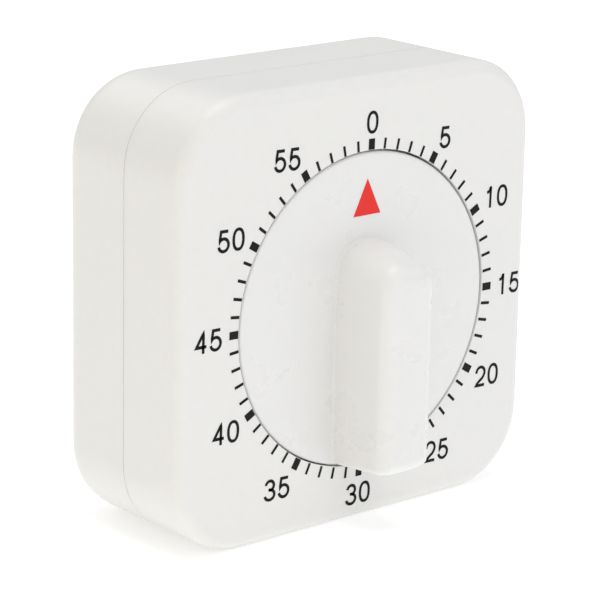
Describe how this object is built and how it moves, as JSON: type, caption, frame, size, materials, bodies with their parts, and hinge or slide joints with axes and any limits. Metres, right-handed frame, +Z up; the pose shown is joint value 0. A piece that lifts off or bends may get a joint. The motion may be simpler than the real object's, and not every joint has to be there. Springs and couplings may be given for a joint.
{
  "type": "mechanical timer",
  "caption": "Free-standing clockwork timer: a square case with rounded corners, a turning dial with a finger grip and pointer, a gear train with escapement, and a bell.",
  "frame": {"origin": "middle of the footprint, on the surface the timer stands on, halfway between its front face and rear face", "axes": "+X to the right seen from the front, +Y to the rear, +Z up"},
  "size_m": [0.068, 0.0389, 0.0674],
  "materials": {
    "case_abs": "satin white injection-moulded ABS",
    "dial_abs": "satin white injection-moulded ABS",
    "screw_steel": "zinc-plated steel",
    "plate_steel": "plain rolled steel sheet",
    "wheel_brass": "stamped brass",
    "arbor_steel": "turned steel",
    "spring_steel": "blued spring steel",
    "bell_steel": "nickel-plated steel"
  },
  "bodies": {
    "case": {"front_case": "case_abs", "back_cover": "case_abs", "case_screws": "screw_steel", "front_plate": "plate_steel", "back_plate": "plate_steel", "plate_pillars": "arbor_steel", "pillar_nuts": "screw_steel", "movement_screws": "screw_steel", "mainspring": "spring_steel", "spring_post": "arbor_steel", "bell_post": "arbor_steel", "bell": "bell_steel", "bell_screw": "screw_steel", "hammer_spring": "spring_steel", "hammer_stop": "arbor_steel"},
    "dial": {"dial_knob": "dial_abs", "main_arbor": "arbor_steel", "great_wheel": "wheel_brass", "ratchet_wheel": "arbor_steel", "ratchet_click": "arbor_steel", "strike_cam": "arbor_steel"},
    "second_arbor": {"second_pinion": "arbor_steel", "second_wheel": "wheel_brass"},
    "third_arbor": {"third_pinion": "arbor_steel", "third_wheel": "wheel_brass"},
    "escape_arbor": {"escape_pinion": "arbor_steel", "escape_wheel": "wheel_brass"},
    "anchor_lever": {"anchor_arbor": "arbor_steel", "anchor": "wheel_brass", "pallet_pins": "arbor_steel"},
    "hammer": {"hammer_arbor": "arbor_steel", "hammer_tail": "plate_steel", "hammer_arm": "plate_steel", "hammer_head": "wheel_brass"}
  },
  "joints": [
    {"name": "dial_turn", "type": "hinge", "parent": "case", "child": "dial", "pos_m": [0.0008, 0, 0.0325], "axis": [0, 1, 0], "range_deg": [0, 354]},
    {"name": "second_turn", "type": "hinge", "parent": "case", "child": "second_arbor", "pos_m": [0.0098, 0, 0.04809], "axis": [0, 1, 0], "range_deg": [-2832, 0]},
    {"name": "third_turn", "type": "hinge", "parent": "case", "child": "third_arbor", "pos_m": [0.01728, 0, 0.03975], "axis": [0, 1, 0], "range_deg": [0, 16992]},
    {"name": "escape_turn", "type": "hinge", "parent": "case", "child": "escape_arbor", "pos_m": [0.01863, 0, 0.03004], "axis": [0, 1, 0], "range_deg": [-101952, 0]},
    {"name": "anchor_rock", "type": "hinge", "parent": "case", "child": "anchor_lever", "pos_m": [0.0149, 0, 0.02131], "axis": [0, 1, 0], "range_deg": [-4, 4]},
    {"name": "hammer_swing", "type": "hinge", "parent": "case", "child": "hammer", "pos_m": [-0.0164, 0, 0.0245], "axis": [0, -1, 0], "range_deg": [0, 12], "stiffness_Nm_per_rad": 0.001, "springref_deg": -20.05}
  ],
  "couplings": [
    {"joint": "second_turn", "follows": "dial_turn", "ratio": -8},
    {"joint": "third_turn", "follows": "dial_turn", "ratio": 48},
    {"joint": "escape_turn", "follows": "dial_turn", "ratio": -288}
  ]
}
